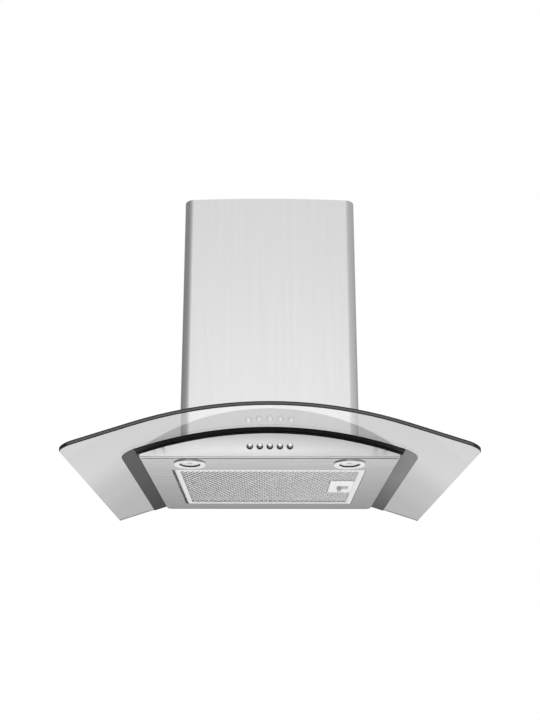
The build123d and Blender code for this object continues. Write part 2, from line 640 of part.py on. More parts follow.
ADAPTER_TOP = BOX_TOP - SHEET
with BuildPart() as outlet_adapter:
    for wall, mode in ((0, Mode.ADD), (VOLUTE_WALL, Mode.SUBTRACT)):
        with BuildSketch(Plane(origin=(0, COLLAR_Y, ADAPTER_BOTTOM))):
            Rectangle(2 * (VOLUTE_HALF - wall), 114 - 2 * wall)
        with BuildSketch(Plane(origin=(0, COLLAR_Y, ADAPTER_TOP))):
            Circle(72 - wall)
        loft(mode=mode)
keep(outlet_adapter.part, "outlet_adapter")

DISC_HALF, RING_WIDTH = 1.0, 2.0
with BuildPart() as impeller_disc:
    for radius, low, high in ((68, -DISC_HALF, DISC_HALF), (9, -6, 12)):
        with BuildSketch(AXLE.offset(low)):
            Circle(radius)
        extrude(amount=high - low)
    with BuildSketch(AXLE.offset(-20)):
        Circle(SHAFT_RADIUS)
    extrude(amount=40, mode=Mode.SUBTRACT)
keep(impeller_disc.part, "impeller_disc")

with BuildPart() as impeller_rings:
    for start in (-IMPELLER_HALF, IMPELLER_HALF - RING_WIDTH):
        with BuildSketch(AXLE.offset(start)):
            Circle(IMPELLER_RADIUS)
            Circle(57, mode=Mode.SUBTRACT)
        extrude(amount=RING_WIDTH)
keep(impeller_rings.part, "impeller_rings")

# one row of blades each side of the disc
BLADE_LENGTH = IMPELLER_HALF - RING_WIDTH - DISC_HALF - 2 * TOUCH
with BuildPart() as impeller_blades:
    for start in (DISC_HALF + TOUCH, -DISC_HALF - TOUCH - BLADE_LENGTH):
        with BuildSketch(AXLE.offset(start)):
            with PolarLocations(63, BLADE_COUNT):
                Rectangle(12, 1.2, rotation=35)
        extrude(amount=BLADE_LENGTH)
keep(impeller_blades.part, "impeller_blades")

with BuildPart() as motor_shaft:
    with BuildSketch(AXLE.offset(-58)):
        Circle(SHAFT_RADIUS)
    extrude(amount=72)
keep(motor_shaft.part, "motor_shaft")

with BuildPart() as motor:
    with BuildSketch(AXLE.offset(-VOLUTE_HALF)):
        Circle(42)
    extrude(amount=54)
    fillet(motor.edges().filter_by(GeomType.CIRCLE), 4)
    with BuildSketch(AXLE.offset(-59)):
        Circle(SHAFT_RADIUS + 0.06)
    extrude(amount=60, mode=Mode.SUBTRACT)
keep(motor.part, "motor")

with BuildPart() as motor_bracket:
    with BuildSketch(AXLE.offset(-VOLUTE_HALF - 2)):
        Circle(30)
        with PolarLocations(46, 3):
            Rectangle(40, 12)
    extrude(amount=2)
keep(motor_bracket.part, "motor_bracket")

with BuildPart() as capacitor:
    with BuildSketch(Plane(origin=(BOX_HALF - SHEET - 15.1, -200, 180))):
        Circle(15)
    extrude(amount=55)
    fillet(capacitor.edges().filter_by(GeomType.CIRCLE), 1.5)
keep(capacitor.part, "capacitor")

# ======================================================================
# Control box on the air box's top, behind the collar
# ======================================================================
CONTROL_HALF, CONTROL_FRONT, CONTROL_REAR, CONTROL_TOP = 60.0, -68.0, -14.0, 335.0
CONTROL_WALL, COVER_THICKNESS = 2.0, 2.5
COVER_TOP = CONTROL_TOP + COVER_THICKNESS
CONTROL_MID_Y = (CONTROL_FRONT + CONTROL_REAR) / 2
CONTROL_FLOOR = BOX_TOP + CONTROL_WALL + TOUCH
GLAND_AT = Plane(origin=(-35, CONTROL_MID_Y, COVER_TOP))
GLAND_THREAD, GLAND_BORE = 8.0, 4.5
with BuildPart() as control_box:
    add(block((-CONTROL_HALF, CONTROL_FRONT, BOX_TOP), (CONTROL_HALF, CONTROL_REAR, CONTROL_TOP)))
    add(block(
        (-CONTROL_HALF + CONTROL_WALL, CONTROL_FRONT + CONTROL_WALL, BOX_TOP + CONTROL_WALL),
        (CONTROL_HALF - CONTROL_WALL, CONTROL_REAR - CONTROL_WALL, CONTROL_TOP + 5),
    ), mode=Mode.SUBTRACT)
keep(control_box.part, "control_box")

with BuildPart() as control_box_cover:
    add(block((-CONTROL_HALF, CONTROL_FRONT, CONTROL_TOP + TOUCH), (CONTROL_HALF, CONTROL_REAR, COVER_TOP)))
    fillet(control_box_cover.edges().filter_by(Axis.Z), 2)
    with BuildSketch(GLAND_AT.offset(-5)):
        Circle(GLAND_THREAD + 2 * TOUCH)
    extrude(amount=10, mode=Mode.SUBTRACT)
keep(control_box_cover.part, "control_box_cover")

with BuildPart() as cable_gland:
    with BuildSketch(GLAND_AT.offset(-3)):
        Circle(GLAND_THREAD)
    extrude(amount=4)
    with BuildSketch(GLAND_AT.offset(TOUCH)):
        RegularPolygon(radius=11, side_count=6)
    extrude(amount=6)
    with BuildSketch(GLAND_AT.offset(6)):
        Circle(8.5)
    extrude(amount=10)
    with BuildSketch(GLAND_AT.offset(-10)):
        Circle(GLAND_BORE)
    extrude(amount=40, mode=Mode.SUBTRACT)
keep(cable_gland.part, "cable_gland")

keep(block((5, -60, CONTROL_FLOOR), (52, -22, 328)), "lamp_transformer")
TERMINAL_TOP = 318.0
with BuildPart() as terminal_block:
    add(block((-38, -52, CONTROL_FLOOR), (-8, -30, TERMINAL_TOP)))
    with BuildSketch(Plane(origin=(-23, CONTROL_MID_Y, TERMINAL_TOP))):
        with GridLocations(9, 1, 3, 1):
            Circle(2.2)
    extrude(amount=-8, mode=Mode.SUBTRACT)
keep(terminal_block.part, "terminal_block")
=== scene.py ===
"""Dressed model of a wall-mounted range hood with an arched glass canopy.

Lengths are in metres in the CAD frame: +X to the right, +Y into the wall, +Z up. The origin is the middle of
the canopy pan's lower rear edge. A name that ends in _mm or _MM holds millimetres.
"""

import logging
import math
from dataclasses import dataclass
from enum import Enum
from typing import Any, Optional

import bmesh
import bpy
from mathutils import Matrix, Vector


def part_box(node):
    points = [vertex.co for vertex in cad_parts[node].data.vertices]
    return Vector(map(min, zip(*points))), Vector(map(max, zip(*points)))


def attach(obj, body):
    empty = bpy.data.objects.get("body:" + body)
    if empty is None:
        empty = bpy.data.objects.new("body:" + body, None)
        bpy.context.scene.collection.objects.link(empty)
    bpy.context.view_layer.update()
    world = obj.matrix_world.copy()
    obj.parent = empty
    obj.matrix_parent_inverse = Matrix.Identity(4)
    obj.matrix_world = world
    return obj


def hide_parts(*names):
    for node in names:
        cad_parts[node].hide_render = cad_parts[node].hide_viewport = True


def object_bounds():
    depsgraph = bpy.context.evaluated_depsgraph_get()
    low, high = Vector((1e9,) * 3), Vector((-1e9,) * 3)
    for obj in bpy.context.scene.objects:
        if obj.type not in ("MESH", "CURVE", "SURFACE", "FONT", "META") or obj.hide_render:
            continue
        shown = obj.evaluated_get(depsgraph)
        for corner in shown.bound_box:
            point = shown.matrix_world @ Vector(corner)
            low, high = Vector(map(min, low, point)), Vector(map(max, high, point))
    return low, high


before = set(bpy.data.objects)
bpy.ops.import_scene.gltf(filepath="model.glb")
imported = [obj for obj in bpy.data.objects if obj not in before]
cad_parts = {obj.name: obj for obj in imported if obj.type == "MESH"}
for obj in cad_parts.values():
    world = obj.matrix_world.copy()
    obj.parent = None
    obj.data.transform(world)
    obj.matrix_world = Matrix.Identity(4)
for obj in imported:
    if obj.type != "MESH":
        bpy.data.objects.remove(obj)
CAD_LOW, CAD_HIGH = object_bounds()

MM = 0.001
ARCH_RADIUS_MM, ARCH_HEIGHT_MM, ARCH_REACH_MM = 625.0, 40.5, 195.0  # the glass's underside, as in the CAD
ARCH_LEAN = math.asin(ARCH_REACH_MM / ARCH_RADIUS_MM)  # how far it has turned where it starts to run straight
GLASS_THICKNESS_MM = 6.0
RIM_WIDTH_MM = 1.8  # ground bevel along each edge of the glass
LAMP_X_MM, LAMP_Y_MM = 128.0, 352.0  # how far each lamp stands to the side and out from the wall
DULL_SPECULAR = 0.04  # specular level of a coat or a skin that hardly shines
LOG = logging.getLogger("range_hood")

Sizes = tuple[float, float, float]
Stops = tuple[tuple[float, float], ...]


class Grain(Enum):
    """Direction in which a sheet was brushed; the value is the number of its axis."""

    ACROSS = 0
    DEEP = 1
    UPRIGHT = 2


@dataclass(frozen=True)
class Fade:
    """A colour that comes in along an axis; every one in this script is painted light or shade.

    Args:
        axis: "X", "Y" or "Z"
        start_mm: place along the axis where the colour starts
        full_mm: place where it is full
        colour: sRGB hex value
    """

    axis: str
    start_mm: float
    full_mm: float
    colour: str


# ---------------------------------------------------------------- colours and shader nodes
def linear(colour: str) -> tuple[float, float, float, float]:
    """Turns a colour as it is seen into the renderer's own scale.

    Args:
        colour: sRGB hex value such as "#C8C8C6"
    Returns:
        linear red, green, blue and an alpha of 1
    """
    values = [int(colour[i:i + 2], 16) / 255 for i in (1, 3, 5)]
    scaled = [v / 12.92 if v <= 0.04045 else ((v + 0.055) / 1.055) ** 2.4 for v in values]
    return (scaled[0], scaled[1], scaled[2], 1.0)


def connect(tree: bpy.types.NodeTree, socket: bpy.types.NodeSocket, value: Any) -> None:
    """Gives a socket its value.

    Args:
        tree: node tree that the socket is in
        socket: the socket
        value: a constant, or the output socket to link to it
    """
    if isinstance(value, bpy.types.NodeSocket):
        tree.links.new(value, socket)
    else:
        socket.default_value = value


def add_node(
    tree: bpy.types.NodeTree, kind: str, inputs: Optional[dict] = None, **settings: Any
) -> bpy.types.Node:
    """Adds one shader node with its settings and links.

    Args:
        tree: node tree that gets the node
        kind: Blender's name of the node type
        inputs: socket name or number, and the constant or the output socket that it gets
        settings: other attributes of the node
    Returns:
        the new node
    """
    node = tree.nodes.new(kind)
    for name, value in settings.items():
        setattr(node, name, value)
    for name, value in (inputs or {}).items():
        connect(tree, node.inputs[name], value)
    return node


@dataclass(frozen=True)
class Board:
    """A node tree, with the sums that the finishes and the surround share.

    Args:
        tree: the node tree
    """

    tree: bpy.types.NodeTree

    def work_out(self, operation: str, first: Any, second: Any = 0.0) -> bpy.types.NodeSocket:
        """Returns the result of one sum on sockets or numbers."""
        return add_node(self.tree, "ShaderNodeMath", {0: first, 1: second}, operation=operation).outputs[0]

    def ramp(
        self, value: bpy.types.NodeSocket, start: float = 0.0, end: float = 1.0,
        low: float = 0.0, high: float = 1.0,
    ) -> bpy.types.NodeSocket:
        """Turns a value into a level that runs evenly between two ends and holds still beyond them.

        Args:
            value: what the level depends on
            start, end: values at which the level starts and stops changing
            low, high: the level at the start and at the end
        Returns:
            the level
        """
        names = ("From Min", "From Max", "To Min", "To Max")
        inputs = {"Value": value, **dict(zip(names, (start, end, low, high)))}
        return add_node(self.tree, "ShaderNodeMapRange", inputs).outputs["Result"]

    def mix(self, share: Any, first: Any, second: Any) -> bpy.types.NodeSocket:
        """Returns a number between two, by a share from 0 to 1."""
        inputs = {0: share, 2: first, 3: second}
        return add_node(self.tree, "ShaderNodeMix", inputs, data_type="FLOAT").outputs[0]

    def blend(self, share: Any, first: Any, second: Any, mode: str = "MIX") -> bpy.types.NodeSocket:
        """Returns a colour between the first and the second or, to multiply, between it and their product."""
        inputs = {0: share, 6: first, 7: second}
        return add_node(self.tree, "ShaderNodeMix", inputs, data_type="RGBA", blend_type=mode).outputs[2]

    def parts(self, vector: bpy.types.NodeSocket) -> dict[str, bpy.types.NodeSocket]:
        """Returns a vector's parts under "X", "Y" and "Z"."""
        node = add_node(self.tree, "ShaderNodeSeparateXYZ", {0: vector})
        return {name: node.outputs[name] for name in "XYZ"}


@dataclass(frozen=True)
class Surface(Board):
    """A material's node tree and the Principled node in it.

    Args:
        shader: the Principled node
    """

    shader: bpy.types.Node

    def feed(self, socket: str, value: Any) -> None:
        """Gives a socket of the Principled node a constant or a link."""
        connect(self.tree, self.shader.inputs[socket], value)

    def fed(self, socket: str) -> bpy.types.NodeSocket:
        """Returns what is linked to a socket of the Principled node."""
        return self.shader.inputs[socket].links[0].from_socket

    def here(self) -> bpy.types.NodeSocket:
        """Returns the place on the piece, in metres."""
        return add_node(self.tree, "ShaderNodeTexCoord").outputs["Object"]

    def facing(self) -> dict[str, bpy.types.NodeSocket]:
        """Returns the parts of the direction in which the face looks."""
        return self.parts(add_node(self.tree, "ShaderNodeNewGeometry").outputs["True Normal"])

    def place(self, sizes_mm: Sizes) -> bpy.types.NodeSocket:
        """Returns the place on the piece, counted in a pattern's sizes along X, Y and Z."""
        inputs = {0: self.here(), 1: [1 / (size * MM) for size in sizes_mm]}
        return add_node(self.tree, "ShaderNodeVectorMath", inputs, operation="MULTIPLY").outputs["Vector"]

    def noise(self, sizes_mm: Sizes, detail: float) -> bpy.types.NodeSocket:
        """Returns noise from 0 to 1 with blotches of the given sizes along X, Y and Z."""
        inputs = {"Vector": self.place(sizes_mm), "Scale": 1.0, "Detail": detail}
        return add_node(self.tree, "ShaderNodeTexNoise", inputs).outputs["Fac"]

    def cells(self, size_mm: float) -> bpy.types.Node:
        """Returns a node that divides the surface into cells of about the given size."""
        inputs = {"Vector": self.place((size_mm, size_mm, size_mm)), "Scale": 1.0}
        return add_node(self.tree, "ShaderNodeTexVoronoi", inputs, feature="F1")

    def reach(self, fade: Fade) -> bpy.types.NodeSocket:
        """Returns how far a fade has come in, from 0 to 1."""
        return self.ramp(self.parts(self.here())[fade.axis], fade.start_mm * MM, fade.full_mm * MM)

    def tone(self, share: bpy.types.NodeSocket, colour: str, mode: str = "MULTIPLY") -> None:
        """Multiplies the linked base colour by another, or mixes the other in, by a share from 0 to 1."""
        self.feed("Base Color", self.blend(share, self.fed("Base Color"), linear(colour), mode))

    def emboss(self, height: bpy.types.NodeSocket, depth_mm: float) -> None:
        """Raises the surface by a height from 0 to 1 times a depth."""
        inputs = {"Height": height, "Strength": 1.0, "Distance": depth_mm * MM}
        self.feed("Normal", add_node(self.tree, "ShaderNodeBump", inputs).outputs["Normal"])


# ---------------------------------------------------------------- finishes
@dataclass(frozen=True)
class Finish:
    """A material's plain facts; each kind of finish below adds its own surface.

    Args:
        name: the material's name
        colour: main colour as sRGB hex
        roughness: how matt the surface is, from 0 to 1
    """

    name: str
    colour: str
    roughness: float

    def material(self) -> bpy.types.Material:
        """Makes the material when it is first asked for.

        Returns:
            the material, which all pieces in this finish share
        """
        known = bpy.data.materials.get(self.name)
        if known:
            return known
        made = bpy.data.materials.new(self.name)
        made.use_nodes = True
        surface = Surface(made.node_tree, made.node_tree.nodes["Principled BSDF"])
        surface.feed("Base Color", linear(self.colour))
        surface.feed("Roughness", self.roughness)
        self.dress(surface)
        made.diffuse_color = linear(self.colour)
        return made

    def dress(self, surface: Surface) -> None:
        """Adds what the eye sees on this finish."""

    def vary(
        self, surface: Surface, pattern: bpy.types.NodeSocket, colour: str, spread: tuple[float, float]
    ) -> None:
        """Lets a pattern from 0 to 1 change the colour and the roughness.

        Args:
            surface: the material's nodes
            pattern: the pattern
            colour: sRGB hex value where the pattern is 1; where it is 0 the main colour stays
            spread: what is added to the roughness where the pattern is 0 and where it is 1
        """
        surface.feed("Base Color", surface.blend(pattern, linear(self.colour), linear(colour)))
        low, high = (self.roughness + change for change in spread)
        surface.feed("Roughness", surface.ramp(pattern, low=low, high=high))


@dataclass(frozen=True)
class BrushedStainless(Finish):
    """Ferritic stainless sheet, belt-brushed: fine parallel scratches draw reflections out across the grain.

    Args:
        grain: direction of the brushing
        shade: darker colour in the bottom of the scratches
        painted_shades: colours to multiply by, painted shade where less light reaches the sheet
        hem: whether its lower edge is folded back
        scratch_depth_mm: how deep the scratches are
        scratch_mm: a scratch's width and length; real ones are near 0.05 mm wide, too fine to show
        streak_mm: a rolling streak's width and length
        contrast: strengths of scratch and streak together where the colour is lightest and darkest
        spread: change of the roughness between them
        fold: steepness at which a fold starts to scatter light, and at which it mirrors fully again
        fold_metal: how much of the fold still mirrors
    """

    grain: Grain = Grain.ACROSS
    shade: str = "#D9D9D9"
    painted_shades: tuple[Fade, ...] = ()
    hem: bool = False
    scratch_depth_mm: float = 0.004
    scratch_mm: tuple[float, float] = (0.7, 60.0)
    streak_mm: tuple[float, float] = (9.0, 240.0)
    contrast: tuple[float, float] = (0.12, 0.4)
    spread: tuple[float, float] = (-0.004, 0.008)
    fold: tuple[float, float] = (-0.9, -0.3)
    fold_metal: float = 0.1

    def dress(self, surface: Surface) -> None:
        """Adds scratches and faint rolling streaks, the fold's scattered light and the painted shade.

        Args:
            surface: the material's nodes
        """
        surface.feed("Metallic", 1.0)
        scratch = surface.noise(self.along_grain(*self.scratch_mm), detail=3.0)
        streak = surface.noise(self.along_grain(*self.streak_mm), detail=2.0)
        both = surface.work_out("MULTIPLY", scratch, streak)
        self.vary(surface, surface.ramp(both, *self.contrast), self.shade, self.spread)
        surface.emboss(scratch, self.scratch_depth_mm)
        if self.hem:  # the stretched skin of the fold shows on the faces that look down
            down = surface.ramp(surface.facing()["Z"], *self.fold, low=self.fold_metal)
            surface.feed("Metallic", down)
        # painted shade: each colour darkens the sheet where less light reaches it
        for fade in self.painted_shades:
            surface.tone(surface.reach(fade), fade.colour)

    def along_grain(self, width_mm: float, length_mm: float) -> Sizes:
        """Returns a mark's sizes along X, Y and Z."""
        x, y, z = (length_mm if axis == self.grain.value else width_mm for axis in range(3))
        return (x, y, z)


@dataclass(frozen=True)
class CoatedSteel(Finish):
    """Steel sheet with a baked enamel: even colour, faint orange-peel in the gloss.

    Args:
        painted_light_drift: painted light, a lighter colour that the coat takes on towards the right
        rear: colour to multiply by towards the wall, painted shade where little light reaches it
        peel_mm, peel_depth_mm: size and depth of the orange-peel
        spread: change of the roughness from left to right
    """

    painted_light_drift: Fade = Fade("X", -230.0, 230.0, "#7C7D7E")
    rear: Fade = Fade("Y", -250.0, 0.0, "#858585")
    peel_mm: float = 1.5
    peel_depth_mm: float = 0.006
    spread: tuple[float, float] = (0.0, 0.05)

    def dress(self, surface: Surface) -> None:
        """Adds orange-peel, painted light that lightens the coat to the right, and painted shade to the rear.

        Args:
            surface: the material's nodes
        """
        surface.feed("Specular IOR Level", DULL_SPECULAR)
        # painted light towards the right, then painted shade towards the wall
        self.vary(surface, surface.reach(self.painted_light_drift), self.painted_light_drift.colour, self.spread)
        surface.tone(surface.reach(self.rear), self.rear.colour)
        surface.emboss(surface.noise((self.peel_mm,) * 3, detail=2.0), self.peel_depth_mm)


@dataclass(frozen=True)
class Galvanised(Finish):
    """Hot-dip galvanised sheet: interlocking zinc spangles of slightly different greys.

    Args:
        shade: the darkest spangles' colour
        spangle_mm: a spangle's size
        spread: change of the roughness from spangle to spangle
    """

    shade: str = "#8E9496"
    spangle_mm: float = 9.0
    spread: tuple[float, float] = (-0.08, 0.1)

    def dress(self, surface: Surface) -> None:
        """Adds the spangles, each with its own grey and gloss.

        Args:
            surface: the material's nodes
        """
        surface.feed("Metallic", 1.0)
        spangle = surface.cells(self.spangle_mm)
        grey = add_node(surface.tree, "ShaderNodeSeparateColor", {0: spangle.outputs["Color"]})
        self.vary(surface, grey.outputs[0], self.shade, self.spread)


@dataclass(frozen=True)
class SatinAluminium(Finish):
    """Rolled aluminium, etched and natural: pale, soft gloss, faint rolling lines.

    Args:
        shade: darker colour between the lines
        metal: how much of it mirrors; the etched skin scatters the rest
        lines_mm: size of its lines or blotches along X, Y and Z, coarser than the real ones so that they show
        spread: change of the roughness across a line
        depth_mm: how deep the lines are
    """

    shade: str = "#E2E3E3"
    metal: float = 0.18
    lines_mm: Sizes = (1.2, 30.0, 1.2)
    spread: tuple[float, float] = (-0.05, 0.08)
    depth_mm: float = 0.02

    def dress(self, surface: Surface) -> None:
        """Adds rolling lines, or the blotches of stretched sheet.

        Args:
            surface: the material's nodes
        """
        surface.feed("Metallic", self.metal)
        lines = surface.noise(self.lines_mm, detail=2.0)
        self.vary(surface, lines, self.shade, self.spread)
        surface.emboss(lines, self.depth_mm)


@dataclass(frozen=True)
class TurnedTrim(SatinAluminium):
    """Spun lamp ring: etched face below, its upright rim polished bright.

    Args:
        polish: roughness of the rim
        upright: how level a face may be, from 0 for upright to 1, to be all rim and to be all face
    """

    polish: float = 0.1
    upright: tuple[float, float] = (0.5, 0.8)

    def dress(self, surface: Surface) -> None:
        """Adds the polished rim to the etched skin.

        Args:
            surface: the material's nodes
        """
        super().dress(surface)
        level = surface.work_out("ABSOLUTE", surface.facing()["Z"])
        rim = surface.ramp(level, *self.upright, low=1.0, high=0.0)
        surface.feed("Metallic", surface.ramp(rim, low=self.metal))
        surface.feed("Roughness", surface.mix(rim, surface.fed("Roughness"), self.polish))


@dataclass(frozen=True)
class CrinkledFoil(Finish):
    """Layers of slit and crumpled aluminium foil: a field of small bright facets with painted shade between
    them.

    Args:
        shade: painted shade in the gaps between the facets
        facet_mm: a facet's size
        metal: how much of it mirrors
        gap: distances from a facet's middle where it starts to darken and where it is darkest, in facets
        spread: change of the roughness from middle to gap
        depth_mm: how deep the gaps are
    """

    shade: str = "#1E1F20"
    facet_mm: float = 3.2
    metal: float = 0.3
    gap: tuple[float, float] = (0.15, 0.75)
    spread: tuple[float, float] = (0.0, 0.2)
    depth_mm: float = 0.9

    def dress(self, surface: Surface) -> None:
        """Adds the facets with painted shade in the gaps between them.

        Args:
            surface: the material's nodes
        """
        surface.feed("Metallic", self.metal)
        off_middle = surface.cells(self.facet_mm).outputs["Distance"]
        # painted shade in the creases between the facets
        self.vary(surface, surface.ramp(off_middle, *self.gap), self.shade, self.spread)
        surface.emboss(off_middle, self.depth_mm)


@dataclass(frozen=True)
class ChromePlate(Finish):
    """Bright chrome over nickel: mirror-like, with the faintest ripple of the polished metal below.

    Args:
        shade: colour in the ripple's hollows
        ripple_mm: a ripple's size
        spread: change of the roughness across a ripple
        sunk: colour to multiply by round its foot, where the hole shades it
        lit: how far a face may look up before the hole's shade starts to leave it, and where it has left
    """

    shade: str = "#D2D4D6"
    ripple_mm: float = 4.0
    spread: tuple[float, float] = (0.0, 0.05)
    sunk: Fade = Fade("Y", -393.5, -392.1, "#1E1E1E")
    lit: tuple[float, float] = (0.2, 0.7)

    def dress(self, surface: Surface) -> None:
        """Adds a ripple in colour and gloss, and painted shade round the foot at the sides and below.

        Args:
            surface: the material's nodes
        """
        surface.feed("Metallic", 1.0)
        self.vary(surface, surface.noise((self.ripple_mm,) * 3, detail=1.0), self.shade, self.spread)
        # painted shade: the foot darkens where the hole shades it, most on faces that look level or down
        below = surface.ramp(surface.facing()["Z"], *self.lit, low=1.0, high=0.0)
        foot = surface.work_out("MULTIPLY", surface.reach(self.sunk), below)
        surface.tone(foot, self.sunk.colour)


@dataclass(frozen=True)
class MouldedPlastic(Finish):
    """Injection-moulded ABS or polypropylene from a spark-eroded mould: fine even texture, soft gloss.

    Args:
        shade: colour in the texture's hollows
        texture_mm: size of the texture; the real one is near 0.1 mm, too fine to show
        spread: change of the roughness across it
        depth_mm: how deep it is
    """

    shade: str = "#1B1B1C"
    texture_mm: float = 0.8
    spread: tuple[float, float] = (-0.06, 0.08)
    depth_mm: float = 0.03

    def dress(self, surface: Surface) -> None:
        """Adds the mould's texture.

        Args:
            surface: the material's nodes
        """
        grit = surface.noise((self.texture_mm,) * 3, detail=3.0)
        self.vary(surface, grit, self.shade, self.spread)
        surface.emboss(grit, self.depth_mm)


@dataclass(frozen=True)
class ExtrudedRubber(Finish):
    """Extruded EPDM rubber: deep black, satin skin with drag lines along its length.

    Args:
        shade: colour of the faint bloom on the skin
        drag_mm: size of the drag lines along X, Y and Z
        spread: change of the roughness across them
        depth_mm: how deep they are
    """

    shade: str = "#060606"
    drag_mm: Sizes = (45.0, 0.6, 0.6)
    spread: tuple[float, float] = (-0.05, 0.1)
    depth_mm: float = 0.02

    def dress(self, surface: Surface) -> None:
        """Adds the drag lines and a little bloom.

        Args:
            surface: the material's nodes
        """
        surface.feed("Specular IOR Level", DULL_SPECULAR)
        drag = surface.noise(self.drag_mm, detail=2.0)
        self.vary(surface, drag, self.shade, self.spread)
        surface.emboss(drag, self.depth_mm)


@dataclass(frozen=True)
class ToughenedGlass(Finish):
    """Bent, toughened float glass: clear through its thickness; its ground front edge is painted dark as
    painted shade.

    Args:
        body: colour that the glass takes on over a long path
        density: how fast it does so, per metre
        ior: its index of refraction
        edge: colour of the flat of the ground edge, an opaque painted shade
        rim: near-black painted shade on the edge's two narrow bevels and on its rounded corners
        edge_roughness: how matt the ground edge is
        frontal: a face belongs to the front edge if its direction's part along Y is below this
        sideways: such a face belongs to a corner if the part along X is more than this, either way
        wave_mm, wave_depth_mm: size along X, Y and Z, and depth, of the roller wave of toughened sheet
    """

    body: str = "#9C9E9E"
    density: float = 5.0
    ior: float = 1.52
    edge: str = "#474848"
    rim: str = "#0B0C0C"
    edge_roughness: float = 0.45
    frontal: float = -0.2
    sideways: float = 0.3
    wave_mm: Sizes = (160.0, 60.0, 160.0)
    wave_depth_mm: float = 0.01

    def dress(self, surface: Surface) -> None:
        """Adds the clear body, its absorption, the painted shade on the ground edge and the slight roller
        wave.

        Args:
            surface: the material's nodes
        """
        surface.feed("IOR", self.ior)
        turn = surface.facing()
        front = surface.work_out("LESS_THAN", turn["Y"], self.frontal)
        # painted shade: the front edge turns opaque dark grey, its bevels and corners near-black
        ground = surface.blend(self.rims(surface, turn), linear(self.edge), linear(self.rim))
        surface.feed("Base Color", surface.blend(front, linear(self.colour), ground))
        surface.feed("Transmission Weight", surface.ramp(front, low=1.0, high=0.0))
        surface.feed("Roughness", surface.ramp(front, low=self.roughness, high=self.edge_roughness))
        surface.emboss(surface.noise(self.wave_mm, detail=0.0), self.wave_depth_mm)
        inside = {"Color": linear(self.body), "Density": self.density}
        absorb = add_node(surface.tree, "ShaderNodeVolumeAbsorption", inside)
        connect(surface.tree, surface.tree.nodes["Material Output"].inputs["Volume"], absorb.outputs[0])

    def rims(self, surface: Surface, turn: dict[str, bpy.types.NodeSocket]) -> bpy.types.NodeSocket:
        """Marks the two narrow ground bevels along the front edge, and the rounded corners.

        Args:
            surface: the material's nodes
            turn: parts of the direction in which the face looks
        Returns:
            1 on a bevel or a corner, 0 between
        """
        part = surface.parts(surface.here())
        out = surface.work_out("ABSOLUTE", part["X"])
        rise = surface.work_out("ADD", part["Z"], (ARCH_RADIUS_MM - ARCH_HEIGHT_MM) * MM)
        lean = surface.work_out("MINIMUM", surface.work_out("ARCTAN2", out, rise), ARCH_LEAN)
        across = surface.work_out("MULTIPLY", out, surface.work_out("SINE", lean))
        up = surface.work_out("MULTIPLY", rise, surface.work_out("COSINE", lean))
        middle = (ARCH_RADIUS_MM + GLASS_THICKNESS_MM / 2) * MM
        depth = surface.work_out("SUBTRACT", surface.work_out("ADD", across, up), middle)
        off_middle = surface.work_out("ABSOLUTE", depth)
        bevel = surface.work_out("GREATER_THAN", off_middle, (GLASS_THICKNESS_MM / 2 - RIM_WIDTH_MM) * MM)
        corner = surface.work_out("GREATER_THAN", surface.work_out("ABSOLUTE", turn["X"]), self.sideways)
        return surface.work_out("MAXIMUM", bevel, corner)


@dataclass(frozen=True)
class FrostedGlass(Finish):
    """Pressed lamp glass, etched inside: milky, lets light through without an image.

    Args:
        shade: colour between the stipple's dots
        through: share of the light that passes
        ior: its index of refraction
        stipple_mm, depth_mm: size and depth of the stipple
        spread: change of the roughness across a dot
        core: colour of the capsule's painted shadow in the middle of the lens
        core_mm: distances from the lamp's middle at which the painted shadow starts to fade and at which it
            ends
    """

    shade: str = "#EFEFEE"
    through: float = 0.08
    ior: float = 1.5
    stipple_mm: float = 1.6
    depth_mm: float = 0.15
    spread: tuple[float, float] = (-0.05, 0.1)
    core: str = "#A9AAA9"
    core_mm: tuple[float, float] = (1.0, 7.0)

    def dress(self, surface: Surface) -> None:
        """Adds the stipple of pressed lamp lenses and the capsule's painted shadow in the middle.

        Args:
            surface: the material's nodes
        """
        surface.feed("Transmission Weight", self.through)
        surface.feed("IOR", self.ior)
        stipple = surface.cells(self.stipple_mm).outputs["Distance"]
        self.vary(surface, stipple, self.shade, self.spread)
        surface.emboss(stipple, self.depth_mm)
        # painted shadow of the capsule, as seen through the frosted lens
        start, end = (radius * MM for radius in self.core_mm)
        near = surface.ramp(self.off_lamp(surface), start, end, low=1.0, high=0.0)
        surface.tone(near, self.core, mode="MIX")

    def off_lamp(self, surface: Surface) -> bpy.types.NodeSocket:
        """Measures how far a place stands from the nearer lamp's axis.

        Args:
            surface: the material's nodes
        Returns:
            the distance in metres
        """
        value = surface.here()
        for operation, other, result in (
            ("MULTIPLY", (1.0, 1.0, 0.0), "Vector"), ("ABSOLUTE", (0.0, 0.0, 0.0), "Vector"),
            ("DISTANCE", (LAMP_X_MM * MM, LAMP_Y_MM * MM, 0.0), "Value"),
        ):
            step = add_node(surface.tree, "ShaderNodeVectorMath", {0: value, 1: other}, operation=operation)
            value = step.outputs[result]
        return value


# painted shade on the panel: darker towards the top, under the seal's overhang, and towards the right
STEEL_PANEL = BrushedStainless(
    "stainless_brushed_across", "#DEDEDE", 0.34, hem=True,
    painted_shades=(Fade("Z", 12.0, 38.0, "#E4E4E4"), Fade("X", 0.0, 200.0, "#E2E2E2")),
)
